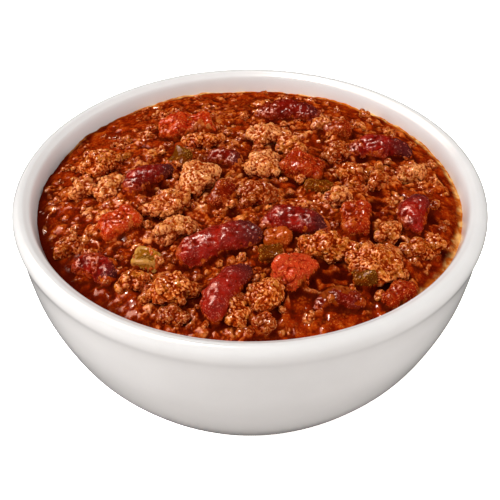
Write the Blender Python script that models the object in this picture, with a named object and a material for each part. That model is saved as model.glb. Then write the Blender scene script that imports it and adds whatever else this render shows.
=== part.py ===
"""Chili con carne in its white porcelain bowl.

The bowl is one turned body on a small foot ring, with a thick rounded lip. The chili fills it and
swells a little in the middle. Kidney beans, tomato chunks, diced pepper and the big clumps of minced
beef are bodies of their own, each seated in a pocket of the chili. Metres, +Z up, origin at the
centre of the foot ring's underside.
"""

import math
import random

import bmesh
import bpy
from mathutils import Euler, Matrix, Vector, noise

MM = 0.001

# Bowl
RIM_RADIUS = 60.0 * MM
HEIGHT = 58.7 * MM
FOOT_RADIUS = 30.0 * MM
FOOT_WIDTH = 2.8 * MM
RECESS_DEPTH = 2.2 * MM
LIP_HALF_WIDTH = 2.3 * MM
LIP_HALF_HEIGHT = 2.8 * MM
LIP_SWEEP = math.radians(125)
LIP_STEPS = 5
BELLY = ((42.0 * MM, 11.7 * MM), (50.8 * MM, 23.5 * MM), (56.7 * MM, 38.2 * MM))
NECK_HEIGHT = HEIGHT - 8.6 * MM
WALL = 5.4 * MM
FLOOR = 7.8 * MM
BOWL_SEGMENTS = 40

# Chili
GAP = 0.3 * MM
FILL_RADIUS = 53.5 * MM
FILL_EDGE = 54.0 * MM
SWELL = 5.9 * MM
SWELL_POWER = 0.62
CHILI_SEGMENTS = 36
CHILI_RINGS = 9
RIPPLE = 0.45 * MM
RIPPLE_SIZE = 9.0 * MM

# Pieces in the chili
BEAN_RINGS = 7
BEAN_SIDES = 7
BEAN_BLUNTNESS = 0.72
BEAN_BEND = 0.30
CLUMP_DETAIL = 3
CLUMP_KNOBS = 9
KNOB_HEIGHT = 0.16
CLUMP_SHRINK = 0.10
CLUMP_UNEVENNESS = 0.14
CLUMP_NOISE_SIZE = 0.53
CLUMP_FACE_SHARE = 0.18
CHUNK_DETAIL = 2
CHUNK_NOISE_SIZE = 0.62
CHUNK_FACE_SHARE = 0.75
TOMATO_SHAPE = (0.72, 0.30)
PEPPER_SHAPE = (0.55, 0.12)
INFLATE = 0.40 * MM
FLAT_ANGLE = math.radians(6)

# name, x, y, turn, roll, tilt, length, width, thickness, height of its centre over the chili
BEANS = (
    ("bean_01", -25.9, 0.9, 38, 20, 6, 15.6, 7.8, 7.0, 0.9),
    ("bean_02", -7.0, -25.4, 25, -15, 4, 21.0, 9.8, 8.4, 1.4),
    ("bean_03", -5.2, -40.2, 60, 10, 0, 17.6, 8.6, 7.8, 1.0),
    ("bean_04", 34.2, 15.8, 2, 25, -2, 17.6, 8.4, 7.4, 0.7),
    ("bean_05", 40.8, -11.2, 76, -20, 6, 13.0, 8.6, 7.6, 1.0),
    ("bean_06", 10.7, -17.2, -9, 30, 0, 17.0, 9.2, 7.8, 0.3),
    ("bean_07", 10.5, 33.4, -4, 0, 2, 18.0, 8.8, 7.6, 0.5),
    ("bean_08", -35.7, -31.0, -38, 15, 3, 12.4, 8.2, 7.2, 0.0),
    ("bean_09", -6.4, 9.0, -20, 0, 6, 8.4, 6.4, 6.0, 0.4),
    ("bean_10", 20.0, -41.4, 6, 10, 0, 12.0, 6.8, 6.2, -0.9),
)

# name, x, y, turn, tilt, length, width, thickness, height of its centre over the chili
TOMATOES = (
    ("tomato_01", -17.2, 26.2, 12, 4, 14.6, 8.2, 6.2, 0.6),
    ("tomato_02", 13.1, 5.2, -12, -6, 10.6, 7.8, 7.2, 1.1),
    ("tomato_03", -32.0, -16.6, 40, 5, 9.6, 7.0, 6.2, 0.8),
    ("tomato_04", 9.9, -33.8, 50, -8, 10.6, 7.8, 7.0, 1.1),
    ("tomato_05", 23.5, 24.8, -10, 0, 6.0, 5.0, 4.6, 0.5),
    ("tomato_06", -6.7, -7.4, 60, 8, 6.6, 4.8, 4.8, 0.9),
    ("tomato_07", 33.2, -37.2, 42, 0, 8.0, 3.8, 4.0, -0.1),
    ("tomato_08", 25.7, -15.6, 96, 10, 8.8, 6.2, 6.0, 0.9),
    ("tomato_09", 6.6, -22.4, 10, -6, 5.0, 3.8, 4.0, 1.0),
)

PEPPERS = (
    ("pepper_01", -18.4, 8.4, 60, 30, 6.4, 5.0, 3.8, 1.4),
    ("pepper_02", -24.1, -29.6, -20, 12, 6.8, 5.2, 3.6, 1.1),
    ("pepper_03", 4.9, -28.4, 8, 0, 5.6, 4.0, 3.6, 0.7),
    ("pepper_04", 26.6, -34.9, 0, 20, 5.0, 4.0, 3.6, 1.2),
    ("pepper_05", 17.0, -3.2, -6, 0, 6.0, 3.8, 3.6, 0.4),
)

BEEF = (
    ("beef_01", -38.8, 9.8, 30, 0, 12.0, 8.8, 7.2, 1.0),
    ("beef_02", -42.0, -1.2, 10, 0, 8.2, 6.6, 5.8, 0.9),
    ("beef_03", -35.0, -4.4, 30, 0, 8.4, 6.8, 6.2, 1.1),
    ("beef_04", -43.6, -22.0, 30, 0, 9.0, 6.6, 5.6, 0.6),
    ("beef_05", -13.0, -1.0, 50, 0, 14.0, 9.6, 8.2, 1.5),
    ("beef_06", -20.4, -11.2, 34, 0, 12.6, 7.2, 7.0, 1.3),
    ("beef_07", -12.0, 17.2, 4, 0, 11.4, 5.6, 5.4, 1.5),
    ("beef_08", 3.4, 5.0, 70, 0, 11.0, 8.6, 7.8, 1.6),
    ("beef_09", 1.2, -6.8, 20, 0, 11.0, 8.0, 7.0, 1.0),
    ("beef_10", -18.2, -20.2, 28, 0, 10.4, 6.6, 6.2, 1.2),
    ("beef_11", 3.8, 20.2, 14, 0, 12.0, 7.6, 6.4, 1.1),
    ("beef_12", 11.4, 14.8, -20, 0, 9.0, 7.0, 6.0, 1.0),
    ("beef_13", 18.3, 26.0, 30, 0, 6.0, 5.4, 4.8, 1.3),
    ("beef_14", 22.0, 12.6, 40, 0, 8.0, 6.8, 5.8, 1.2),
    ("beef_15", 25.6, 2.6, 64, 0, 9.8, 7.6, 6.8, 1.0),
    ("beef_16", 41.8, 6.6, 10, 0, 9.4, 6.8, 5.6, 0.6),
    ("beef_17", 21.4, -7.4, 10, 0, 7.2, 5.6, 5.4, 1.3),
    ("beef_18", 33.2, -19.4, 30, 0, 6.8, 5.6, 5.0, 1.2),
    ("beef_19", 17.2, -26.4, -8, 0, 14.4, 7.8, 7.4, 1.6),
    ("beef_20", 31.4, -28.8, -24, 0, 14.0, 9.8, 7.8, 1.4),
    ("beef_21", 41.4, -23.0, 24, 0, 11.4, 7.0, 5.8, 0.9),
    ("beef_22", 3.6, -41.4, 60, 0, 10.0, 8.2, 7.4, 1.2),
    ("beef_23", -18.8, -39.4, 10, 0, 12.0, 9.0, 7.2, 1.2),
    ("beef_24", -28.2, -36.0, 30, 0, 8.8, 6.4, 5.8, 0.8),
    ("beef_25", 32.4, 1.2, 80, 0, 7.4, 5.4, 5.4, 1.1),
    ("beef_26", -2.4, -47.2, 20, 0, 6.2, 5.2, 5.0, 0.9),
    ("beef_27", 3.0, -48.6, 70, 0, 5.4, 5.0, 4.6, 0.6),
    ("beef_28", -17.4, -46.2, -16, 0, 8.0, 4.8, 4.4, 0.5),
)

# colour, roughness
PORCELAIN = ((0.86, 0.855, 0.84), 0.12)
SAUCE = ((0.30, 0.055, 0.012), 0.28)
BEAN_SKIN = ((0.16, 0.012, 0.010), 0.25)
TOMATO_FLESH = ((0.52, 0.055, 0.012), 0.22)
PEPPER_FLESH = ((0.26, 0.15, 0.018), 0.24)
MINCED_BEEF = ((0.36, 0.13, 0.035), 0.45)


def clear_scene():
    for old in list(bpy.data.objects):
        bpy.data.objects.remove(old, do_unlink=True)


def make_material(name, colour, roughness):
    material = bpy.data.materials.new(name)
    material.use_nodes = True
    shader = material.node_tree.nodes["Principled BSDF"]
    shader.inputs["Base Color"].default_value = (*colour, 1.0)
    shader.inputs["Roughness"].default_value = roughness
    shader.inputs["Metallic"].default_value = 0.0
    return material


def add_object(name, bm, material=None):
    bmesh.ops.recalc_face_normals(bm, faces=bm.faces)
    mesh = bpy.data.meshes.new(name)
    bm.to_mesh(mesh)
    bm.free()
    mesh.shade_smooth()
    obj = bpy.data.objects.new(name, mesh)
    bpy.context.scene.collection.objects.link(obj)
    if material:
        mesh.materials.append(material)
    return obj


def hide_as_helper(obj):
    obj.hide_render = True
    obj.display_type = "WIRE"


# ---- profiles, as (radius, height) ----


def curve_through(points, steps):
    """Points along a Catmull-Rom curve through the given ones, each span in this many steps."""
    padded = [points[0], *points, points[-1]]
    found = [points[0]]
    for before, start, end, after in zip(padded, padded[1:], padded[2:], padded[3:]):
        for step in range(1, steps + 1):
            t = step / steps
            found.append(
                tuple(
                    0.5 * (2 * b + (c - a) * t + (2 * a - 5 * b + 4 * c - d) * t**2
                           + (3 * b - a - 3 * c + d) * t**3)
                    for a, b, c, d in zip(before, start, end, after)
                )
            )
    return found


def lip_arc():
    """The rounded lip, from its outermost point over the top to the start of the inner slope."""
    centre_r = RIM_RADIUS - LIP_HALF_WIDTH
    centre_z = HEIGHT - LIP_HALF_HEIGHT
    angles = [LIP_SWEEP * step / LIP_STEPS for step in range(LIP_STEPS + 1)]
    return [
        (centre_r + LIP_HALF_WIDTH * math.cos(a), centre_z + LIP_HALF_HEIGHT * math.sin(a))
        for a in angles
    ]


def outer_wall():
    """From the foot up to just under the lip: a deep round belly, then a slight step out into the lip."""
    foot_top = (FOOT_RADIUS + 4.2 * MM, 3.6 * MM)
    neck = (RIM_RADIUS - 1.2 * MM, NECK_HEIGHT)
    step_out = [
        (RIM_RADIUS - 0.7 * MM, HEIGHT - 5.9 * MM),
        (RIM_RADIUS - 0.12 * MM, HEIGHT - 4.0 * MM),
    ]
    return curve_through([foot_top, *BELLY, neck], 2) + step_out


def inner_wall():
    """From the lip's inner slope down to the middle of the floor."""
    _, waist, shoulder = BELLY
    return [
        (FILL_RADIUS + 1.8 * MM, HEIGHT - 1.35 * MM),
        (FILL_RADIUS + GAP + 0.2 * MM, FILL_EDGE - 0.2 * MM),
        (FILL_RADIUS - 0.7 * MM, NECK_HEIGHT),
        (shoulder[0] - WALL, shoulder[1]),
        (waist[0] - 1.12 * WALL, waist[1]),
        (36.0 * MM, FLOOR + 4.6 * MM),
        (20.0 * MM, FLOOR + 0.8 * MM),
        (0.0, FLOOR),
    ]


def foot_ring():
    """From the recess's middle out over the flat ring and up its outside."""
    inside = FOOT_RADIUS - FOOT_WIDTH
    return [
        (0.0, RECESS_DEPTH),
        (inside - 1.4 * MM, RECESS_DEPTH),
        (inside - 0.3 * MM, 0.6 * MM),
        (inside, 0.0),
        (FOOT_RADIUS, 0.0),
        (FOOT_RADIUS + 0.5 * MM, 0.5 * MM),
        (FOOT_RADIUS + 0.9 * MM, 2.3 * MM),
        (FOOT_RADIUS + 1.9 * MM, 2.9 * MM),
    ]


def turn_profile(profile, segments):
    """A closed body from a profile that starts and ends on the axis."""
    bm = bmesh.new()
    rings = []
    for radius, height in profile:
        if radius < 1e-9:
            rings.append([bm.verts.new((0.0, 0.0, height))])
            continue
        rings.append(
            [
                bm.verts.new((radius * math.cos(a), radius * math.sin(a), height))
                for a in (2 * math.pi * k / segments for k in range(segments))
            ]
        )
    for below, above in zip(rings, rings[1:]):
        bridge(bm, below, above)
    return bm


def bridge(bm, first, second):
    """Faces between two rings of a turned body, either of which may be a single point on the axis."""
    count = max(len(first), len(second))
    for k in range(count):
        following = (k + 1) % count
        corners = [first[k % len(first)], first[following % len(first)]]
        corners += [second[following % len(second)], second[k % len(second)]]
        bm.faces.new(dict.fromkeys(corners))


# ---- the chili's surface ----


def chili_level(x, y):
    """Height of the chili's surface: it swells in the middle and is gently uneven away from its edge."""
    inward = max(0.0, 1.0 - (x * x + y * y) / FILL_RADIUS**2)
    uneven = noise.noise(Vector((x, y, 0.0)) / RIPPLE_SIZE) * RIPPLE * min(1.0, 4.0 * inward)
    return FILL_EDGE + SWELL * inward**SWELL_POWER + uneven


def chili_body():
    """What fills the bowl: an uneven top, and a side and floor that follow the bowl's inside."""
    bm = bmesh.new()
    side = [(r - GAP, z + 0.5 * GAP) for r, z in inner_wall()[2:-1]]
    rings = [[bm.verts.new((0.0, 0.0, chili_level(0.0, 0.0)))]]
    for ring in range(1, CHILI_RINGS + 1):
        radius = FILL_RADIUS * (ring / CHILI_RINGS) ** 0.85
        rings.append(circle_of(bm, radius, CHILI_SEGMENTS, chili_level))
    for radius, height in side:
        rings.append(circle_of(bm, radius, CHILI_SEGMENTS, lambda x, y, z=height: z))
    rings.append([bm.verts.new((0.0, 0.0, FLOOR + GAP))])
    for above, below in zip(rings, rings[1:]):
        bridge(bm, above, below)
    return bm


def circle_of(bm, radius, segments, height_at):
    found = []
    for k in range(segments):
        angle = 2 * math.pi * k / segments
        x, y = radius * math.cos(angle), radius * math.sin(angle)
        found.append(bm.verts.new((x, y, height_at(x, y))))
    return found


# ---- pieces ----


def bean_mesh(length, width, thickness):
    """A kidney bean along X: blunt ends, bent so that its hollow side faces -Y."""
    bm = bmesh.new()
    rings = [[bm.verts.new((-length / 2, -BEAN_BEND * width / 2, 0.0))]]
    for ring in range(1, BEAN_RINGS):
        along = math.pi * ring / BEAN_RINGS
        x = -length / 2 * math.cos(along)
        girth = math.sin(along) ** BEAN_BLUNTNESS
        bend = BEAN_BEND * width * (0.5 - (2 * x / length) ** 2)
        rings.append(
            [
                bm.verts.new(
                    (x, bend + girth * width / 2 * math.cos(a), girth * thickness / 2 * math.sin(a))
                )
                for a in (2 * math.pi * k / BEAN_SIDES for k in range(BEAN_SIDES))
            ]
        )
    rings.append([bm.verts.new((length / 2, -BEAN_BEND * width / 2, 0.0))])
    for before, after in zip(rings, rings[1:]):
        bridge(bm, before, after)
    bmesh.ops.triangulate(bm, faces=bm.faces)
    return bm


def blocky(value, power):
    return math.copysign(abs(value) ** power, value)


def chunk_mesh(length, width, thickness, shape, seed):
    """A cut piece between an egg and a block, its corners shifted a little."""
    squareness, unevenness = shape
    bm = bmesh.new()
    bmesh.ops.create_icosphere(bm, subdivisions=CHUNK_DETAIL, radius=1.0)
    shift = Vector((seed * 7.3, seed * 3.1, seed * 1.7))
    for vert in bm.verts:
        p = vert.co.normalized()
        grown = 1.0 + unevenness * noise.noise(p / CHUNK_NOISE_SIZE + shift)
        vert.co = Vector(
            (
                blocky(p.x, squareness) * length / 2,
                blocky(p.y, squareness) * width / 2,
                blocky(p.z, squareness) * thickness / 2,
            )
        ) * grown
    return bm


def clump_mesh(length, width, thickness, seed):
    """A clump of minced beef: an egg whose surface is pushed out into rounded knobs."""
    bm = bmesh.new()
    bmesh.ops.create_icosphere(bm, subdivisions=CLUMP_DETAIL, radius=1.0)
    picked = random.Random(seed)
    knobs = [Vector([picked.gauss(0, 1) for _ in range(3)]).normalized() for _ in range(CLUMP_KNOBS)]
    shift = Vector((seed * 2.9, seed * 5.3, seed * 1.1))
    for vert in bm.verts:
        p = vert.co.normalized()
        nearness = max(0.0, *(p.dot(knob) for knob in knobs))
        uneven = CLUMP_UNEVENNESS * noise.noise(p / CLUMP_NOISE_SIZE + shift)
        grown = 1.0 - CLUMP_SHRINK + KNOB_HEIGHT * nearness**3 + uneven
        vert.co = Vector((p.x * length / 2, p.y * width / 2, p.z * thickness / 2)) * grown
    return bm


def place_piece(obj, x, y, lift, turn, roll, tilt):
    """Sets a piece at its spot on the chili, with its rotation in the mesh itself."""
    x, y = x * MM, y * MM
    spin = Euler((math.radians(roll), math.radians(-tilt), 0.0)).to_matrix().to_4x4()
    spin = Matrix.Rotation(math.radians(turn), 4, "Z") @ spin
    obj.data.transform(spin)
    obj.location = (x, y, chili_level(x, y) + lift * MM)


def thin_out(obj, share):
    fewer = obj.modifiers.new("fewer_faces", "DECIMATE")
    fewer.ratio = share


def merge_flat_faces(obj):
    """Joins neighbouring faces that lie nearly in one plane, as the cuts leave many slivers."""
    merged = obj.modifiers.new("merged_faces", "DECIMATE")
    merged.decimate_type = "DISSOLVE"
    merged.angle_limit = FLAT_ANGLE


def mesh_as_seen(obj):
    """The object's mesh with its modifiers applied, in world space, as a new bmesh."""
    bpy.context.view_layer.update()
    graph = bpy.context.evaluated_depsgraph_get()
    bm = bmesh.new()
    bm.from_object(obj, graph)
    bm.transform(obj.matrix_world)
    return bm


def pocket_cutter(obj):
    """A helper a little bigger than the piece on every side, to cut room for it."""
    bm = mesh_as_seen(obj)
    bm.normal_update()
    for vert, normal in [(v, v.normal.copy()) for v in bm.verts]:
        vert.co += normal * INFLATE
    cutter = add_object("pocket_" + obj.name, bm)
    hide_as_helper(cutter)
    return cutter


def cut(obj, cutter):
    """Takes the cutter's shape out of the object for good."""
    room = obj.modifiers.new("room", "BOOLEAN")
    room.operation = "DIFFERENCE"
    room.solver = "EXACT"
    room.object = cutter


def boxes_meet(first, second):
    """Whether two objects' world boxes overlap."""
    corners = [[o.matrix_world @ Vector(c) for c in o.bound_box] for o in (first, second)]
    for axis in range(3):
        spans = [(min(c[axis] for c in box), max(c[axis] for c in box)) for box in corners]
        if spans[0][1] < spans[1][0] or spans[1][1] < spans[0][0]:
            return False
    return True


def build_pieces():
    """All the pieces, hardest first, because a later one gives way to those before it."""
    skin = make_material("bean_skin", *BEAN_SKIN)
    flesh = make_material("tomato_flesh", *TOMATO_FLESH)
    green = make_material("pepper_flesh", *PEPPER_FLESH)
    meat = make_material("minced_beef", *MINCED_BEEF)
    pieces = []
    for name, x, y, turn, roll, tilt, length, width, thickness, lift in BEANS:
        bean = add_object(name, bean_mesh(length * MM, width * MM, thickness * MM), skin)
        place_piece(bean, x, y, lift, turn, roll, tilt)
        pieces.append(bean)
    for rows, material, shape in ((TOMATOES, flesh, TOMATO_SHAPE), (PEPPERS, green, PEPPER_SHAPE)):
        for seed, (name, x, y, turn, tilt, length, width, thickness, lift) in enumerate(rows, 1):
            cut_piece = chunk_mesh(length * MM, width * MM, thickness * MM, shape, seed)
            chunk = add_object(name, cut_piece, material)
            place_piece(chunk, x, y, lift, turn, 0.0, tilt)
            thin_out(chunk, CHUNK_FACE_SHARE)
            pieces.append(chunk)
    for seed, (name, x, y, turn, tilt, length, width, thickness, lift) in enumerate(BEEF, 1):
        clump = add_object(name, clump_mesh(length * MM, width * MM, thickness * MM, seed), meat)
        place_piece(clump, x, y, lift, turn, 0.0, tilt)
        thin_out(clump, CLUMP_FACE_SHARE)
        pieces.append(clump)
    return pieces


def build():
    clear_scene()
    profile = foot_ring() + outer_wall() + lip_arc() + inner_wall()
    add_object("bowl", turn_profile(profile, BOWL_SEGMENTS), make_material("porcelain", *PORCELAIN))
    pieces = build_pieces()
    bpy.context.view_layer.update()
    chili = add_object("chili", chili_body(), make_material("sauce", *SAUCE))
    cutters = {piece.name: pocket_cutter(piece) for piece in pieces}
    bpy.context.view_layer.update()
    for index, piece in enumerate(pieces):
        for earlier in pieces[:index]:
            if boxes_meet(piece, cutters[earlier.name]):
                cut(piece, cutters[earlier.name])
    for cutter in cutters.values():
        cut(chili, cutter)
    merge_flat_faces(chili)


build()
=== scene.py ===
"""Looks for the bowl of chili con carne: a glazed bowl, an uneven sauce full of minced beef, and the
beans, tomato, pepper and beef clumps in it, each worked out from the CAD node that it stands for."""

import itertools
import math
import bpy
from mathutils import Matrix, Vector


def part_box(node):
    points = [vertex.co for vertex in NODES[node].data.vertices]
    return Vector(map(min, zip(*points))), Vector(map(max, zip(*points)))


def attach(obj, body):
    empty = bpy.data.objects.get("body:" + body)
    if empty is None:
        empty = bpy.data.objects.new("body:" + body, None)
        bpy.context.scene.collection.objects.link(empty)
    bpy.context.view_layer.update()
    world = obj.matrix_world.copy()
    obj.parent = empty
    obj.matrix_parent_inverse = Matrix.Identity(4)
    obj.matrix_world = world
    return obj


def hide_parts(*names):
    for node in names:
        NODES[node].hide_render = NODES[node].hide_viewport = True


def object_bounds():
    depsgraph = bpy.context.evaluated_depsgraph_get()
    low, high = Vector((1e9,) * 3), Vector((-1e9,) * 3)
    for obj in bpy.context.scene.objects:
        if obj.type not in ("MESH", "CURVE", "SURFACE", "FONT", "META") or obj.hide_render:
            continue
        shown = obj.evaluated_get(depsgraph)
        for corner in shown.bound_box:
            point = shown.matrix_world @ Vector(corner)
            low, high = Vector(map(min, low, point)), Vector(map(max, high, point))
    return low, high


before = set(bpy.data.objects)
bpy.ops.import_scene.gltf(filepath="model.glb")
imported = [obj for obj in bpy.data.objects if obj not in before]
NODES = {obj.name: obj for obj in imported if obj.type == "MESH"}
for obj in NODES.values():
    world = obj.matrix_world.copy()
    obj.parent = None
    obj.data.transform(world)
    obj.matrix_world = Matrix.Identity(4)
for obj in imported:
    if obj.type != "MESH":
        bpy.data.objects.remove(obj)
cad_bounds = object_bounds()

from types import SimpleNamespace

import bmesh
import bpy
import numpy as np
from mathutils import Vector, noise
from mathutils.bvhtree import BVHTree

MM = 0.001

# The chili's surface, as part.py shapes it
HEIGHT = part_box("bowl")[1].z
TOP = cad_bounds[1][2] - 0.005 * MM
FILL_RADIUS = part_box("chili")[1].x
FILL_EDGE = HEIGHT - 4.7 * MM
SWELL = 5.9 * MM
SWELL_POWER = 0.62
RIPPLE = 0.45 * MM
RIPPLE_SIZE = 9.0 * MM

# Raster on which the surface is worked out
CELL = 0.15 * MM
REACH = 55.2 * MM

# The most triangles for the crowded pieces, and the number of loose crumbs
MOST_TRIANGLES = 192000
CRUMB_TRIANGLES = 150000
CRUMBS = 190

# How pale each piece is, from 0, soaked in sauce, to 1, bare and bright, in the order of its kind
PALE_BY_KIND = {
    "bean": (0.5, 0.7, 0.8, 0.45, 0.6, 0.5, 0.15, 0.3, 0.1, 0),
    "tomato": (0.45, 0.2, 0.5, 0.85, 0.1, 0, 0.15, 0.2, 1),
    "pepper": (0, 0.9, 0, 0.1, 0.1),
    "beef": (
        0.5, 0.7, 0.9, 0.12, 1, 0.7, 0.3, 1, 0, 0.95, 0.95, 0.6, 0.7, 0.1,
        0.2, 0.85, 0.8, 0.6, 0.3, 0.6, 0.2, 0.5, 0.5, 0.4, 0.2, 0.4, 0, 0,
    ),
}
PALENESS = {f"{kind}_{k:02d}": pale for kind, row in PALE_BY_KIND.items() for k, pale in enumerate(row, 1)}
BEANS, TOMATOES, PEPPERS, BEEF = (sorted(n for n in NODES if n.startswith(kind)) for kind in PALE_BY_KIND)


# ---- numbers and noise


def smoothstep(value, low, high):
    t = np.clip((value - low) / (high - low), 0, 1)
    return t * t * (3 - 2 * t)


# Added to every lattice position, so that none is negative
NOISE_ORIGIN = 1000.37


def hashed(ix, iy, iz, seed):
    """A repeatable number from -1 to 1 for each lattice point, by the usual spatial hash."""
    h = (ix * 73856093) ^ (iy * 19349663) ^ (iz * 83492791) ^ (seed * 2654435)
    h = (h ^ (h >> 13)) * 1274126177
    h = (h ^ (h >> 16)) & 0xFFFFFF
    return h / 8388607.5 - 1


def smooth_noise(points, size, seed):
    """Noise from -1 to 1 at these points, with features of about that size."""
    p = np.asarray(points, np.float64) / size + NOISE_ORIGIN
    base = np.floor(p).astype(np.int64)
    f = p - base
    f = f * f * f * (f * (f * 6 - 15) + 10)
    sides = (1 - f, f)
    total = 0
    for dx, dy, dz in np.ndindex(2, 2, 2):
        weight = sides[dx][:, 0] * sides[dy][:, 1] * sides[dz][:, 2]
        total = total + weight * hashed(base[:, 0] + dx, base[:, 1] + dy, base[:, 2] + dz, seed)
    return total


def rough_noise(points, size, octaves, seed):
    total, share = 0, 1
    for octave in range(octaves):
        total = total + share * smooth_noise(points, size / 2**octave, seed + octave)
        share *= 0.5
    return total


def cell_bumps(points, size, seed, flat=False):
    """Rounded bumps from 0 to 1, packed like grains of about that size, and each grain's own number."""
    p = np.asarray(points, np.float64) / size + NOISE_ORIGIN
    base = np.floor(p).astype(np.int64)
    best = np.full(len(p), 9.0)
    own = np.zeros(len(p))
    for step in itertools.product((-1, 0, 1), (-1, 0, 1), (0,) if flat else (-1, 0, 1)):
        cell = [base[:, k] + step[k] for k in range(3)]
        away = 0
        for k in range(2 if flat else 3):
            away = away + (cell[k] + 0.5 + 0.42 * hashed(*cell, seed + k) - p[:, k]) ** 2
        closer = away < best
        best[closer] = away[closer]
        own[closer] = hashed(*cell, seed + 3)[closer]
    return np.clip(1 - best / (0.55 if flat else 0.72), 0, 1), own


def warped(points, size, amount, seed):
    """The points shifted by noise, so that what is drawn on them is uneven."""
    shift = [smooth_noise(points, size, seed + k) for k in range(3)]
    return points + amount * np.stack(shift, 1)


# ---- meshes


def linked(name, data):
    """A new object in the scene with this mesh, lamp or camera."""
    obj = bpy.data.objects.new(name, data)
    bpy.context.scene.collection.objects.link(obj)
    return obj


def new_mesh(name, verts, faces):
    mesh = bpy.data.meshes.new(name)
    mesh.from_pydata(np.asarray(verts).tolist(), [], faces)
    mesh.update()
    mesh.shade_smooth()
    return linked(name, mesh)


def rows(items, field, width, kind=np.float32):
    found = np.empty(len(items) * width, kind)
    items.foreach_get(field, found)
    return found.reshape(-1, width)


def coordinates(mesh):
    return rows(mesh.vertices, "co", 3).astype(np.float64)


def normals(mesh):
    return rows(mesh.vertex_normals, "vector", 3).astype(np.float64)


def set_coordinates(mesh, co):
    co[:, 2] = np.minimum(co[:, 2], TOP)
    mesh.vertices.foreach_set("co", np.ascontiguousarray(co, np.float32).ravel())
    mesh.update()


def edges_of(mesh):
    return rows(mesh.edges, "vertices", 2, np.int32)


def relaxed(co, ends, rounds):
    """The points after moving each to the mean of its neighbours this many times."""
    count = np.bincount(ends.ravel(), minlength=len(co)).clip(1)
    for _ in range(rounds):
        summed = np.empty_like(co)
        for k in range(co.shape[1]):
            summed[:, k] = np.bincount(ends[:, 0], co[ends[:, 1], k], len(co))
            summed[:, k] += np.bincount(ends[:, 1], co[ends[:, 0], k], len(co))
        co = summed / count[:, None]
    return co


def store(mesh, **numbers):
    """Gives each vertex these numbers, for the material to read by their names."""
    for name, values in numbers.items():
        layer = mesh.attributes.new(name, "FLOAT", "POINT")
        layer.data.foreach_set("value", np.ascontiguousarray(values, np.float32))


def modified(obj, kind, **settings):
    """Changes the object's mesh by one modifier with these settings."""
    modifier = obj.modifiers.new(kind, kind)
    for name, value in settings.items():
        setattr(modifier, name, value)
    graph = bpy.context.evaluated_depsgraph_get()
    bpy.context.view_layer.update()
    mesh = bpy.data.meshes.new_from_object(obj.evaluated_get(graph))
    obj.modifiers.clear()
    old = obj.data
    obj.data = mesh
    bpy.data.meshes.remove(old)
    mesh.shade_smooth()


def joined_copy(name, nodes):
    """One new object with a copy of each CAD node's mesh."""
    bm = bmesh.new()
    for node in nodes:
        bm.from_mesh(NODES[node].data)
    bmesh.ops.remove_doubles(bm, verts=bm.verts, dist=1e-6)
    mesh = bpy.data.meshes.new(name)
    bm.to_mesh(mesh)
    bm.free()
    return linked(name, mesh)


def relief_of(mesh, rounds):
    """How far each point stands out of its smoothed surroundings, in metres."""
    co = coordinates(mesh)
    smooth = relaxed(co, edges_of(mesh), rounds)
    return np.einsum("ij,ij->i", co - smooth, normals(mesh))


def finish_piece(obj, slot_name, material, *nodes):
    obj.data.materials.clear()
    obj.data.materials.append(material)
    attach(obj, "root")
    if nodes:
        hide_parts(*nodes)
    return obj


# ---- material helpers


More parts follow.
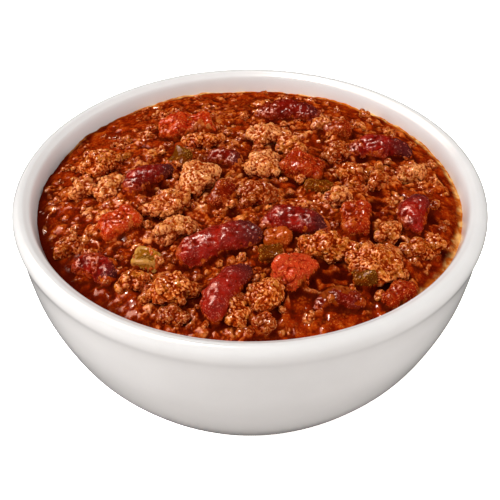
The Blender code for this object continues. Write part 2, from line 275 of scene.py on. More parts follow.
class Shader:
    """A material's node tree, with short names for the nodes that all the materials use. The sizes and
    depths that it takes are in millimetres. A share of the light goes in, as deep as depth times radius."""

    def __init__(self, name, share=0, depth=1, radius=(1, 1, 1)):
        self.material = bpy.data.materials.new(name)
        self.material.use_nodes = True
        self.tree = self.material.node_tree
        self.surface = self.tree.nodes["Principled BSDF"]
        self.coords = self.node("TexCoord").outputs["Object"]
        self.set(Subsurface_Weight=share, Subsurface_Scale=depth * MM, Subsurface_Radius=radius)

    def link(self, value, socket):
        """Feeds a node's output to the socket, or sets the socket to a plain value."""
        if hasattr(value, "is_linked"):
            self.tree.links.new(value, socket)
        else:
            socket.default_value = value

    def fill(self, node, *values, **named):
        """Feeds the node's first inputs and its named ones. Names in small letters are its settings."""
        for value, socket in zip(values, node.inputs):
            self.link(value, socket)
        for name, value in named.items():
            if name.islower():
                setattr(node, name, value)
            else:
                self.link(value, node.inputs[name.replace("_", " ")])
        return node

    def set(self, **named):
        self.fill(self.surface, **named)

    def node(self, kind, *values, **named):
        return self.fill(self.tree.nodes.new("ShaderNode" + kind), *values, **named)

    def attribute(self, name):
        return self.node("Attribute", attribute_name=name).outputs["Fac"]

    def noise(self, size, detail=2, roughness=0.5, seed=0):
        """Noise from 0 to 1 with features of about this size."""
        node = self.node("TexNoise", noise_dimensions="4D", Vector=self.coords, W=seed)
        self.fill(node, Scale=1 / (size * MM), Detail=detail, Roughness=roughness)
        return node.outputs["Fac"]

    def grains(self, size):
        """1 in the middle of each uneven grain of about this size, and 0 between the grains."""
        size = size * MM
        shift = self.node("TexNoise", Vector=self.coords, Scale=0.8 / size, Detail=1)
        terms = shift.outputs["Color"], (0.9 * size,) * 3, self.coords
        where = self.node("VectorMath", *terms, operation="MULTIPLY_ADD")
        node = self.node("TexVoronoi", Vector=where.outputs[0], Scale=1 / size)
        return self.between(node.outputs["Distance"], 0.15, 0.7, 1, 0)

    def between(self, value, low, high, at_low=0, at_high=1):
        """Goes smoothly from at_low to at_high as the value goes from low to high."""
        node = self.node("MapRange", value, low, high, at_low, at_high, interpolation_type="SMOOTHSTEP")
        return node.outputs["Result"]

    def math(self, operation, a, b):
        return self.node("Math", a, b, operation=operation).outputs[0]

    def times(self, a, b):
        return self.math("MULTIPLY", a, b)

    def ramp(self, value, *stops):
        """Colours along a value, as (position, (r, g, b)) stops."""
        node = self.node("ValToRGB", Fac=value)
        elements = node.color_ramp.elements
        while len(elements) < len(stops):
            elements.new(0.5)
        for element, (position, colour) in zip(elements, stops):
            element.position = position
            element.color = (*colour, 1)
        return node.outputs["Color"]

    def mix(self, share, first, second):
        first, second = ((*c, 1) if isinstance(c, tuple) else c for c in (first, second))
        return self.node("Mix", data_type="RGBA", Factor=share, A=first, B=second).outputs["Result"]

    def tinted(self, colour, value, low, high, at_low, at_high, paint):
        """The colour with a share of paint, at_low where the value is low and at_high where it is high."""
        return self.mix(self.between(value, low, high, at_low, at_high), colour, paint)

    def bump(self, height, distance, strength=1):
        return self.node("Bump", Height=height, Distance=distance * MM, Strength=strength).outputs["Normal"]

    def wet(self, relief, share, low, high, ripple, depth, roughness=0.06, rise=0.46, ior=1.6, shine=0):
        """A thin wet film on what stands out of the creases, broken by ripples of this size and depth."""
        patches = self.between(self.noise(2, seed=13), low, high, 0, share)
        film = self.times(patches, self.between(relief, rise, rise + 0.14))
        self.set(Coat_Weight=self.math("MAXIMUM", film, shine), Coat_Roughness=roughness, Coat_IOR=ior)
        self.set(Coat_Normal=self.bump(self.noise(ripple, 1, seed=17), depth), Specular_IOR_Level=0)

    def with_flecks_and_glints(self, colour, relief, light, seed):
        """The colour with fine dark flecks of spice, and light flecks where it stands out, partly fat and
        fibre and partly painted highlight.
        """
        dark = self.noise(0.38, 1, seed=seed + 21)
        colour = self.tinted(colour, dark, 0.6, 0.72, 0, 0.5, (0.05, 0.003, 0.0008))
        # Light flecks only where it stands out: partly fat and fibre, partly painted highlight
        pale = self.between(self.noise(0.34, 1, seed=seed + 22), 0.56, 0.68, 0, 0.7)
        return self.mix(self.times(pale, self.between(relief, 0.48, 0.62)), colour, light)

    def rough(self, size, low, high, detail=2, seed=5):
        """Roughness that varies from low to high in patches of this size."""
        self.set(Roughness=self.between(self.noise(size, detail, seed=seed), 0.3, 0.7, low, high))

    def textured(self, size, depth, strength=0.8, roughness=0.5, grains=None):
        """Fine bumps of this size and depth, with any grains on top."""
        fine = self.noise(size, 2, roughness, seed=11)
        if grains is not None:
            fine = self.math("ADD", fine, grains)
        self.set(Normal=self.bump(fine, depth, strength))


# ---- materials


def porcelain_material():
    s = Shader("glazed_porcelain", 0.08, 2, (1, 0.95, 0.85))
    s.set(Coat_Weight=0.3, Coat_Roughness=0.08)
    glaze = s.mix(s.between(s.noise(9, 3), 0.3, 0.7), (0.825, 0.805, 0.79), (0.845, 0.825, 0.81))
    height = s.node("SeparateXYZ", Vector=s.coords).outputs["Z"]
    bare = s.between(height, 0.15 * MM, 0.5 * MM, 1, 0)
    s.set(Base_Color=s.mix(bare, glaze, (0.7, 0.66, 0.6)), Roughness=s.between(bare, 0, 1, 0.16, 0.75))
    s.set(Normal=s.bump(s.noise(6, seed=2), 0.05, 0.5))
    return s.material


def sauce_colour(s, relief, seed):
    """The sauce's colour: dark red-brown to orange-red in patches, with painted light on its bumps and
    painted shade in its creases.
    """
    patches = s.noise(4, 5, 0.7, seed=seed)
    return s.ramp(
        s.math("ADD", patches, s.between(relief, 0.3, 0.75, -0.1, 0.14)),
        (0.3, (0.1, 0.0035, 0.0003)),
        (0.47, (0.21, 0.011, 0.0006)),
        (0.61, (0.37, 0.028, 0.0012)),
        (0.78, (0.6, 0.105, 0.006)),
    )


def sauced(s, colour, relief, share, seed, crease_shade, high=0.52):
    """The colour with a share of sauce over it where the piece is coated, the sauce darkened in the creases
    by painted shade.
    """
    sauce = s.tinted(sauce_colour(s, relief, seed), relief, 0.3, high, 0.7, 0, crease_shade)
    return s.mix(s.times(s.attribute("coat"), share), colour, sauce)


def grain_colour(s, relief, tone, seed):
    """Sauce-coated minced beef: dark red in its creases with painted shade, golden and pinkish brown on its
    grains with painted light on their tops.
    """
    # Colour by relief: painted shade in the creases and painted light on the grain tops
    colour = s.ramp(
        relief,
        (0.25, (0.07, 0.0024, 0.0002)),
        (0.42, (0.25, 0.014, 0.0003)),
        (0.58, (0.58, 0.08, 0.0035)),
        (0.77, (1, 0.325, 0.08)),
    )
    golden = s.noise(2.3, 3, 0.6, seed=seed + 1)
    colour = s.tinted(colour, golden, 0.48, 0.66, 0, 1, (0.6, 0.165, 0.014))
    red = s.noise(2, 3, 0.6, seed=seed + 2)
    colour = s.tinted(colour, red, 0.46, 0.64, 0, 0.75, (0.36, 0.036, 0.0025))
    # Pale bare mince kept to the raised tops: paler meat there, and painted highlight
    bare = s.times(s.between(tone, 0.45, 1, 0, 0.8), s.between(relief, 0.34, 0.64))
    bare = s.times(bare, s.between(s.noise(2.6, 4, 0.65, seed=seed + 3), 0.38, 0.6, 0.2, 1))
    colour = s.mix(bare, colour, (1, 0.4, 0.13))
    colour = s.tinted(colour, tone, 0, 0.35, 0.65, 0, (0.26, 0.022, 0.002))
    # Darker in the creases: partly sauce there and partly painted shade
    crease_shade = s.mix(s.between(tone, 0.4, 0.9), (0.18, 0.01, 0.0002), (0.4, 0.036, 0.0006))
    return s.tinted(colour, relief, 0.22, 0.57, 0.9, 0, crease_shade)


def sauce_material():
    s = Shader("chili_sauce", 0.1, 1, (1, 0.3, 0.12))
    meat, relief, shade, dim = (s.attribute(name) for name in ("meat", "relief", "shade", "dim"))
    lit = s.math("SUBTRACT", relief, s.math("ADD", shade, s.times(dim, 0.1)))
    s.wet(lit, 0.8, 0.42, 0.54, 1.1, 0.09, rise=0.47, shine=s.attribute("shine"))
    grains = s.grains(0.7)
    finer = s.times(s.math("SUBTRACT", grains, 0.4), s.between(meat, 0, 1, 0.05, 0.18))
    relief = s.math("ADD", relief, finer)
    sunk = s.between(s.noise(2.6, 3, 0.6, seed=7), 0.44, 0.64, 0, 0.55)
    sauce = s.mix(s.times(grains, sunk), sauce_colour(s, relief, 0), (0.5, 0.08, 0.006))
    # Darker in the creases: painted shade
    deep = s.tinted(sauce, relief, 0.28, 0.5, 0.75, 0, (0.07, 0.006, 0.0012))
    film = s.between(s.noise(3, 3, 0.6, seed=3), 0.38, 0.6, 0.2, 0.9)
    film = s.times(film, s.between(s.attribute("bare"), 0, 1, 1, 0.3))
    coated = s.mix(film, grain_colour(s, relief, s.attribute("tone"), 20), sauce)
    food = s.with_flecks_and_glints(s.mix(meat, deep, coated), relief, (0.66, 0.16, 0.025), 80)
    food = s.mix(s.times(shade, 0.9), food, (0.05, 0.0022, 0.0004))
    # Painted shadow of the bowl's left wall along the sauce's edge
    food = s.mix(dim, food, (0.075, 0.004, 0.0006))
    # The oil line at the wall, only and widest on the lit back-right side: real oil with painted light
    lit_oil = s.mix(s.between(s.noise(2.2, seed=5), 0.4, 0.62), (0.66, 0.15, 0.012), (1, 0.56, 0.17))
    s.set(Base_Color=s.mix(s.attribute("rim"), food, lit_oil))
    s.rough(1.6, 0.25, 0.45, seed=9)
    s.textured(0.85, 0.2, grains=s.times(grains, 0.35))
    return s.material


def beef_material():
    s = Shader("minced_beef", 0.08, 0.8, (1, 0.45, 0.2))
    grains = s.grains(0.62)
    relief = s.math("ADD", s.attribute("relief"), s.times(s.math("SUBTRACT", grains, 0.25), 0.2))
    s.wet(relief, 0.9, 0.36, 0.52, 0.55, 0.06, 0.08)
    meat = grain_colour(s, relief, s.attribute("tone"), 40)
    meat = sauced(s, meat, relief, 0.85, 30, (0.08, 0.007, 0.0012), 0.55)
    s.set(Base_Color=s.with_flecks_and_glints(meat, relief, (1, 0.46, 0.18), 90))
    s.rough(1.2, 0.3, 0.55)
    s.textured(0.55, 0.28, 1, 0.6, s.times(grains, 0.45))
    return s.material


def bean_material():
    s = Shader("kidney_bean_skin", 0.06, 1, (1, 0.2, 0.12))
    relief, tone = s.attribute("relief"), s.attribute("tone")
    hidden = s.between(tone, 0, 0.8, 0.1, -0.05)
    s.wet(s.math("SUBTRACT", relief, hidden), 1, 0.3, 0.48, 0.4, 0.12, 0.21, ior=1.65)
    skin = s.ramp(
        s.noise(3.5, 4, 0.6),
        (0.28, (0.065, 0.0022, 0.0012)),
        (0.46, (0.17, 0.0042, 0.002)),
        (0.6, (0.32, 0.0075, 0.003)),
        (0.78, (0.48, 0.026, 0.012)),
    )
    skin = s.tinted(skin, tone, 0.3, 1, 0, 0.5, (0.44, 0.018, 0.006))
    # Darker towards each bean's +X end, away from the lamps: painted shade
    skin = s.tinted(skin, s.attribute("along"), 0.55, 0.95, 0, 0.85, (0.05, 0.01, 0.01))
    # Darker in the creases: painted shade
    skin = s.tinted(skin, relief, 0.2, 0.45, 0.6, 0, (0.035, 0.002, 0.001))
    skin = sauced(s, skin, relief, 0.8, 50, (0.08, 0.006, 0.0012))
    skin = s.tinted(skin, tone, 0, 0.4, 0.7, 0, (0.13, 0.005, 0.001))
    s.set(Base_Color=s.with_flecks_and_glints(skin, relief, (0.62, 0.13, 0.075), 100))
    s.rough(1.1, 0.2, 0.4, 3)
    s.textured(0.9, 0.18)
    return s.material


def tomato_material():
    s = Shader("cooked_tomato", 0.2, 1.4, (1, 0.22, 0.08))
    relief, tone = s.attribute("relief"), s.attribute("tone")
    s.wet(relief, 0.8, 0.34, 0.5, 0.6, 0.13, 0.11)
    flesh = s.ramp(
        s.noise(2.8, 4, 0.6),
        (0.28, (0.3, 0.01, 0.0015)),
        (0.48, (0.46, 0.022, 0.0025)),
        (0.62, (0.56, 0.045, 0.004)),
        (0.8, (0.66, 0.11, 0.01)),
    )
    flesh = s.tinted(flesh, tone, 0.4, 0.9, 0, 0.5, (0.64, 0.06, 0.016))
    flesh = s.tinted(flesh, tone, 0.88, 1, 0, 0.8, (0.42, 0.062, 0.0015))
    flesh = s.tinted(flesh, tone, 0, 0.3, 0.7, 0, (0.17, 0.007, 0.0008))
    # Darker in the creases: painted shade
    flesh = s.tinted(flesh, relief, 0.2, 0.5, 0.85, 0, (0.2, 0.007, 0.001))
    flesh = s.tinted(flesh, s.noise(0.7, seed=4), 0.56, 0.7, 0, 0.55, (0.72, 0.16, 0.03))
    flesh = sauced(s, flesh, relief, 0.7, 60, (0.1, 0.007, 0.0012))
    flesh = s.tinted(flesh, tone, 0, 0.35, 0.6, 0, (0.16, 0.006, 0.0006))
    s.set(Base_Color=s.with_flecks_and_glints(flesh, relief, (0.86, 0.22, 0.055), 110))
    s.rough(1, 0.2, 0.4)
    s.textured(0.85, 0.2)
    return s.material


def pepper_material():
    s = Shader("cooked_green_pepper", 0.3, 1.4, (0.8, 0.6, 0.15))
    relief, tone = s.attribute("relief"), s.attribute("tone")
    s.wet(relief, 0.6, 0.44, 0.58, 0.8, 0.09)
    flesh = s.ramp(
        s.noise(2.4, 3, 0.55),
        (0.28, (0.13, 0.038, 0.0012)),
        (0.5, (0.26, 0.078, 0.0026)),
        (0.76, (0.5, 0.18, 0.012)),
    )
    flesh = s.tinted(flesh, tone, 0, 0.5, 0.8, 0, (0.11, 0.03, 0.0012))
    # Paler on the raised parts of the paler pieces: painted highlight
    light = s.times(s.between(relief, 0.46, 0.6), s.between(tone, 0.4, 0.9, 0, 0.6))
    flesh = s.mix(light, flesh, (0.7, 0.33, 0.08))
    flesh = s.mix(s.times(s.attribute("coat"), 0.65), flesh, sauce_colour(s, relief, 70))
    flesh = s.tinted(flesh, tone, 0, 0.5, 0.8, 0, (0.12, 0.022, 0.001))
    s.set(Base_Color=s.with_flecks_and_glints(flesh, relief, (0.62, 0.28, 0.045), 120))
    s.rough(1, 0.2, 0.4)
    s.textured(0.6, 0.08, 0.6)
    return s.material


def floor_material(name, tint):
    s = Shader(name)
    darker, lighter = (tuple(share * part for part in tint) for share in (0.98, 1.02))
    s.set(Base_Color=s.mix(s.noise(50), darker, lighter), Roughness=0.9, Specular_IOR_Level=0)
    return s.material


# ---- the bowl


def cad_profile(node):
    """The (radius, height) line of a turned node from under its foot to its inside centre, walked along
    the edges that lie in the half plane at +X."""
    mesh = NODES[node].data
    key = [tuple(v) for v in np.round(coordinates(mesh) / (0.001 * MM)).astype(int)]
    flat = {k for k in key if abs(k[1]) <= 2 and k[0] >= -2}
    beside = {k: set() for k in flat}
    for a, b in edges_of(mesh):
        if key[a] in flat and key[b] in flat and key[a] != key[b]:
            beside[key[a]].add(key[b])
            beside[key[b]].add(key[a])
    ends = [k for k in flat if len(beside[k]) == 1]
    line = [min(ends, key=lambda k: k[2])]
    while following := beside[line[-1]] - set(line[-2:-1]):
        line.append(following.pop())
    return np.array([(0, line[0][2])] + [(k[0], k[2]) for k in line]) * 0.001 * MM


def smoothed_line(points, steps, keep_sharp):
    """A Catmull-Rom line through the points, straight between the ones listed as sharp."""
    found = [points[0]]
    for k in range(len(points) - 1):
        start, end = points[k], points[k + 1]
        before = points[k - 1] if k > 0 and k not in keep_sharp else start
        after = points[k + 2] if k + 2 < len(points) and k + 1 not in keep_sharp else end
        for t in np.arange(1, steps + 1) / steps:
            curve = 2 * start + (end - before) * t + (2 * before - 5 * start + 4 * end - after) * t**2
            curve = curve + (3 * start - before - 3 * end + after) * t**3
            found.append(0.5 * curve)
    return np.clip(found, points.min(0), points.max(0))


def turned(name, line, segments):
    """A closed body turned from a line that starts and ends on the axis."""
    angles = np.arange(segments) * 2 * np.pi / segments
    ring = np.stack([np.cos(angles), np.sin(angles)], 1)
    inner = line[1:-1]
    verts = [np.array([[0, 0, line[0][1]]]), np.array([[0, 0, line[-1][1]]])]
    for radius, height in inner:
        verts.append(np.c_[ring * radius, np.full(segments, height)])
    faces = []
    for k in range(segments):
        following = (k + 1) % segments
        faces.append((0, 2 + following, 2 + k))
        for row in range(len(inner) - 1):
            a = 2 + row * segments
            faces.append((a + k, a + following, a + segments + following, a + segments + k))
        last = 2 + (len(inner) - 1) * segments
        faces.append((1, last + k, last + following))
    return new_mesh(name, np.concatenate(verts), faces)


def make_bowl():
    line = smoothed_line(cad_profile("bowl"), steps=4, keep_sharp=(1, 2, 3, 4, 5))
    bowl = turned("porcelain_bowl", line, segments=192)
    bowl.visible_glossy = False
    return finish_piece(bowl, "porcelain", porcelain_material(), "bowl")


# ---- the surface raster


AXIS = np.arange(-REACH, REACH + CELL / 2, CELL)
X, Y = np.meshgrid(AXIS, AXIS)
FLAT = np.stack([X.ravel(), Y.ravel(), np.zeros(X.size)], 1)
RADIUS = np.hypot(X, Y)
SIDE = len(AXIS)


def raster_noise(size, seed, octaves=1):
    """Noise on the raster with features of about this size in millimetres."""
    return rough_noise(FLAT, size * MM, octaves, seed).reshape(X.shape)


def facing(azimuth):
    """1 on the raster's side at this azimuth in degrees from +X towards +Y, and -1 on the far side."""
    return np.cos(np.arctan2(Y, X) - math.radians(azimuth))


def blurred(field, sigma):
    """The raster after a Gaussian blur whose sigma is in millimetres."""
    sigma = sigma * MM
    rate_y = np.fft.fftfreq(SIDE, CELL)[:, None]
    rate_x = np.fft.rfftfreq(SIDE, CELL)
    spread = np.exp(-2 * (np.pi * sigma) ** 2 * (rate_x**2 + rate_y**2))
    return np.fft.irfft2(np.fft.rfft2(field) * spread, s=field.shape)


def sampled(field, points):
    """The raster's values at these points, worked out between its cells."""
    place = np.clip((points[:, :2].T + REACH) / CELL, 0, SIDE - 1.001)
    ix, iy = place.astype(int)
    fx, fy = place % 1
    low = field[iy, ix] * (1 - fx) + field[iy, ix + 1] * fx
    high = field[iy + 1, ix] * (1 - fx) + field[iy + 1, ix + 1] * fx
    return low * (1 - fy) + high * fy


def chili_level():
    """The CAD chili's surface without its pockets."""
    step = 10
    coarse = AXIS[::step]
    ripple = np.array([[noise.noise(Vector((x, y, 0)) / RIPPLE_SIZE) for x in coarse] for y in coarse])
    index = np.arange(SIDE) / step
    low = np.clip(index.astype(int), 0, len(coarse) - 2)
    part = index - low
    ripple = ripple[low] * (1 - part)[:, None] + ripple[low + 1] * part[:, None]
    ripple = ripple[:, low] * (1 - part) + ripple[:, low + 1] * part
    inward = np.clip(1 - (RADIUS / FILL_RADIUS) ** 2, 0, 1)
    return FILL_EDGE + SWELL * inward**SWELL_POWER + ripple * RIPPLE * np.clip(4 * inward, 0, 1)


def height_over(objects):
    """The raster of the top of these objects, and 0 where there is none."""
    top = np.zeros_like(X)
    step, block = 2, 8
    for obj in objects:
        co = coordinates(obj.data)
        tree = BVHTree.FromPolygons(co.tolist(), [p.vertices[:] for p in obj.data.polygons])
        near = np.zeros_like(X, bool)
        blocks = ((co[:, :2] + REACH) / CELL / block).astype(int) * block
        for i, j in {tuple(c) for c in blocks}:
            near[j : j + block, i : i + block] = True
        for j in range(0, SIDE, step):
            for i in np.flatnonzero(near[j, ::step]) * step:
                hit = tree.ray_cast(Vector((AXIS[i], AXIS[j], 0.1)), Vector((0, 0, -1)))
                if hit[0]:
                    part = top[j : j + step, i : i + step]
                    np.maximum(part, hit[0].z, out=part)
    return top


# Spots on the chili, each with its x, y and radius in millimetres: first the smooth patches of sauce
POOLS = (
    (22, -35.5, 3.2), (12.5, -42, 3.6), (22.5, -45, 4), (31, -41.5, 2.4), (47, -15.5, 2.6), (33, -37, 3.5),
    (48.5, -8, 4.5), (-47, -9, 4.5), (-42, -37, 3), (-30.5, -24.5, 2.5), (10, -18, 4), (34, 20, 3.5),
    (-41, 22, 4),
)

# Hollows between the pieces, sunk a little and darkened by painted shade
GAPS = (
    (-21.5, 3, 2.4), (-24.5, -3.5, 2.3), (15.5, 31.5, 2), (-17.5, -9, 1.5), (14.5, -37, 2),
    (17.5, -34.5, 2.4), (20.5, -33.5, 2.4), (17.5, -31, 1.5), (26.5, 16, 2.1), (21.5, -6.5, 2.1),
    (45, -11, 2.2), (-5.5, 12.5, 1.6), (-16.5, 10.5, 1.4), (-6, -8.5, 1.5), (32, -2.5, 2.6), (30.5, -8.5, 2),
    (-21.5, -1.5, 2.2), (21, -9.5, 1.8), (6.5, -42, 1.8), (-24.5, -35.5, 2.2), (-4, -12.5, 2.2),
    (-17, -40, 2.4), (-35, 13, 3), (5.5, -2, 2.2), (30.5, -20.5, 2), (36, -21.5, 1.8), (-32.5, -33.5, 2),
    (29.5, 12, 2.4), (10, -5.5, 1.8), (39.5, 4.5, 1.9), (31.5, -7, 2.5), (-2, -8, 1.6), (-15, -46.5, 2),
    (-17, -13.5, 1.9), (-36.5, -28.5, 1.8), (24, -26, 1.8), (5.5, -46.5, 1.6), (18, -5.5, 1.6),
)

# Pale mince heaped between the pieces
HEAPS = (
    (-10.5, 11.5, 3.4), (-12.5, -7.5, 3.2), (-11, -11.5, 2.6), (-5, 2.5, 3), (-16, 15, 2.6), (-26, 13.5, 3),
    (-20, 23, 3), (-12.5, 24.5, 3), (-38, -18.5, 3), (-23, -21.5, 2.6), (-13.5, 15.5, 3), (22.5, 21.5, 2.4),
    (-3.5, 19, 2.8), (5, 16.5, 2), (10.5, -48, 1.8), (-33.5, 20, 2), (12, -21, 2.6), (12, -28, 2.4),
    (25, -30, 2.4), (43, -24, 2.8), (36, -6.5, 2.4), (25, -10, 2.2), (14, -3.5, 2.6), (21.5, 3, 2),
    (14.5, 23, 2), (31, -15.5, 1.8), (-40.5, -8, 2.4), (-39, 4.5, 1.8), (44, -0.5, 2.4), (-20.5, -31, 2.4),
    (-2.5, 7.5, 2.4), (13.5, -21, 2.2), (4, -10.5, 2), (-36.5, -12.5, 1.6), (-32, -24, 2), (-29, 10, 2),
    (34, 9, 2), (-28, -35.5, 1.8), (-5.5, -42, 1.8), (-40, 19.5, 2), (36, -10.5, 1.6), (9.5, 33, 2),
    (37, -2, 1.6),
)

# Smooth wet bumps of sauce that catch the light
SHINES = (
    (-26.5, 32, 2), (-47, -13.5, 2), (-12, 43.5, 1.8), (21, 26, 1.6), (14, -20.5, 1.4), (-31.5, 12.5, 1.6),
    (-27, 19, 1.5), (37.5, 30, 1.3), (-34, -25, 1.8), (-31, -21.5, 1.3), (-36, 29.5, 1.3), (-46, -9.5, 1.1),
    (13, 2, 1.3), (4, -49.5, 1.2), (-28.5, -38.5, 1.3), (-39, -15, 1.1), (2, -14, 1.1), (12.5, -16.5, 1.1),
    (-4.5, -28.5, 1.1), (41.5, -1, 1.4), (38.5, -22.5, 1.1), (-9.5, -44, 1.8), (-41.5, -27, 2.2),
)


def spots(table, wobble, low, high):
    """1 within the table's spots, fading to 0 between these shares of their radius, with uneven edges."""
    mask = np.zeros_like(X)
    for x, y, radius in table:
        away = np.hypot(X - x * MM, Y - y * MM) + wobble
        mask = np.maximum(mask, 1 - smoothstep(away, low * radius * MM, high * radius * MM))
    return mask


def shade_over_dark_pieces():
    """1 over the pieces of paleness 0, less over those up to 0.35, fading out just past them: where painted
    shade is spread.
    """
    wobble = 0.25 * raster_noise(2.5, 95, 2)
    mask = np.zeros_like(X)
    for node, pale in PALENESS.items():
        low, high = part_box(node)
        centre, half = (low + high) / 2, (high - low) / 2
        away = np.hypot((X - centre.x) / half.x, (Y - centre.y) / half.y) + wobble
        mask = np.maximum(mask, (1 - smoothstep(away, 0.6, 1.2)) * np.clip(1 - pale / 0.35, 0, 1))
    return mask


def pool_mask():
    """1 in the smooth patches and along the wall, 0 where the sauce is full of minced beef."""
    wobble = 1.3 * MM * raster_noise(4, 21, 2)
    wide = 2 * MM * smoothstep(facing(50), 0.2, 0.8)
    ring = smoothstep(RADIUS + 1.4 * wobble + wide, FILL_RADIUS - 1.8 * MM, FILL_RADIUS - 0.5 * MM)
    return np.maximum(ring, spots(POOLS, wobble, 0.55, 1))


def raster_bumps(size, seed, warp=0.3):
    """Grains of about this size in millimetres on the raster, and each grain's own number."""
    size = size * MM
    bumps, own = cell_bumps(warped(FLAT, 0.8 * size, warp * size, seed + 50), size, seed, flat=True)
    return bumps.reshape(X.shape), own.reshape(X.shape)


def make_ground():
    """Rasters of the chili's surface before the pieces are in it."""
    level = chili_level()
    pools = pool_mask()
    gaps = spots(GAPS, 0.6 * MM * raster_noise(1.8, 91, 2), 0.35, 1.15)
    shines = spots(SHINES, 0.35 * MM * raster_noise(1.6, 93, 2), 0, 1.25)
    lying = height_over([NODES[n] for n in BEANS + TOMATOES + PEPPERS + BEEF]) > level + 0.3 * MM
    heaped = 1.5 * MM * blurred(lying.astype(float), 1.7) * (1 - pools) * (1 - gaps)
    level = level + heaped - 0.45 * MM * gaps
    lobes, lobe_own = raster_bumps(2.7, 101, 0.5)
    grains, grain_own = raster_bumps(1.05, 111, 0.5)
    fine, _ = raster_bumps(0.62, 121)
    bare = spots(HEAPS, MM * raster_noise(3, 97, 2), 0.2, 1.3)
    mound = raster_noise(6.5, 3, 2) + 0.9 * bare
    outer = smoothstep(RADIUS + 5 * MM * raster_noise(12, 9), 28 * MM, 46 * MM)
    outer = outer * (1 - 0.35 * smoothstep(facing(245), 0.4, 0.9))
    soaked = smoothstep(raster_noise(4.5, 11, 2), -0.2, 0.5)
    sauce = level + MM * (-0.25 + 0.26 * raster_noise(5.5, 5) + 0.14 * raster_noise(2.2, 7, 2))
    sauce = sauce + MM * (1 - 0.55 * pools) * soaked * (0.55 * lobes + 0.16 * grains)
    sauce = blurred(sauce, 0.28) + MM * 0.07 * raster_noise(0.9, 13, 2)
    meat = level + MM * (-0.38 + 0.75 * mound - 0.5 * outer - 2.2 * pools - 0.6 * gaps)
    meat = meat + MM * (lobes * (0.65 + 0.35 * lobe_own) + 0.42 * grains * (0.8 + 0.2 * grain_own))
    meat = meat + MM * 0.24 * fine
    over = meat - sauce
    blend = np.clip(0.5 + over / (0.3 * MM), 0, 1)
    height = sauce + over * blend + 0.075 * MM * blend * (1 - blend)
    height = height + 0.85 * shines * (level + 0.5 * MM - height)
    wall = smoothstep(RADIUS, FILL_RADIUS - 1.3 * MM, FILL_RADIUS + 0.6 * MM)
    creep = 0.2 + 0.32 * raster_noise(7, 61) + 0.2 * raster_noise(2.5, 63, 2)
    return SimpleNamespace(
        height=height + wall * MM * creep,
        meat=smoothstep(over, -0.1 * MM, 0.3 * MM) * (1 - shines),
        shine=shines,
        tone=0.5 + 0.5 * grain_own + 0.25 * bare,
        bare=bare,
        clear=np.maximum(pools, gaps),
        gaps=gaps,
        grains=grains,
    )


def with_pieces(ground, pieces):
    """The surface with sauce and mince creeping up the pieces that lie in it."""
    over = height_over(pieces)
    exposed = over - ground.height
    reach = MM * (0.95 + raster_noise(3.2, 201, 2) + 0.6 * (ground.grains - 0.4))
    film = over + np.clip(0.5 * (np.maximum(reach, 0) - exposed), -2 * MM, 0.3 * MM)
    film = film + MM * (0.14 + 0.3 * ground.bare) * ground.grains * (film > over)
    covers = (over > 0) & (film > ground.height)
    surface = SimpleNamespace(**vars(ground))
    height = np.where(covers, film, ground.height)
    surface.height = blurred(height, 0.09)
    surface.meat = ground.meat * (1 - 0.75 * blurred(covers * (1 - ground.bare), 0.25))
    hidden = ground.bare * blurred(covers.astype(float), 0.25)
    surface.bare = ground.bare - 0.8 * hidden
    surface.tone = ground.tone - 0.5 * hidden
    surface.relief = 0.5 + (surface.height - blurred(height, 0.8)) / (0.85 * MM)
    wobble = 0.5 * MM * raster_noise(2, 71, 2)
    # The oil line along the wall is wider and shown only on the lit back-right side: real oil with painted
    # light
    bright = smoothstep(facing(42) + 0.25 * raster_noise(9, 75), -0.6, 0.6)
    rim = smoothstep(RADIUS + wobble, FILL_RADIUS - 1.4 * MM * bright, FILL_RADIUS + 0.3 * MM)
    surface.rim = rim * bright
    # Painted shadow of the bowl's left wall on the sauce's edge
    left = smoothstep(facing(185) + 0.2 * raster_noise(9, 77), 0.45, 0.9)
    surface.dim = left * smoothstep(RADIUS + 2 * wobble, FILL_RADIUS - 3.5 * MM, FILL_RADIUS - 0.3 * MM)
    return surface


def disk_grid(side):
    """Points of a square grid mapped evenly onto a disk of radius 1."""
    line = np.linspace(-1, 1, side)
    a, b = np.meshgrid(line, line)
    a, b = a.ravel(), b.ravel()
    wide = np.abs(a) > np.abs(b)
    safe_a, safe_b = np.where(a == 0, 1e-12, a), np.where(b == 0, 1e-12, b)
    radius = np.where(wide, a, b)
    angle = np.where(wide, np.pi / 4 * b / safe_a, np.pi / 2 - np.pi / 4 * a / safe_b)
    return radius * np.cos(angle), radius * np.sin(angle)


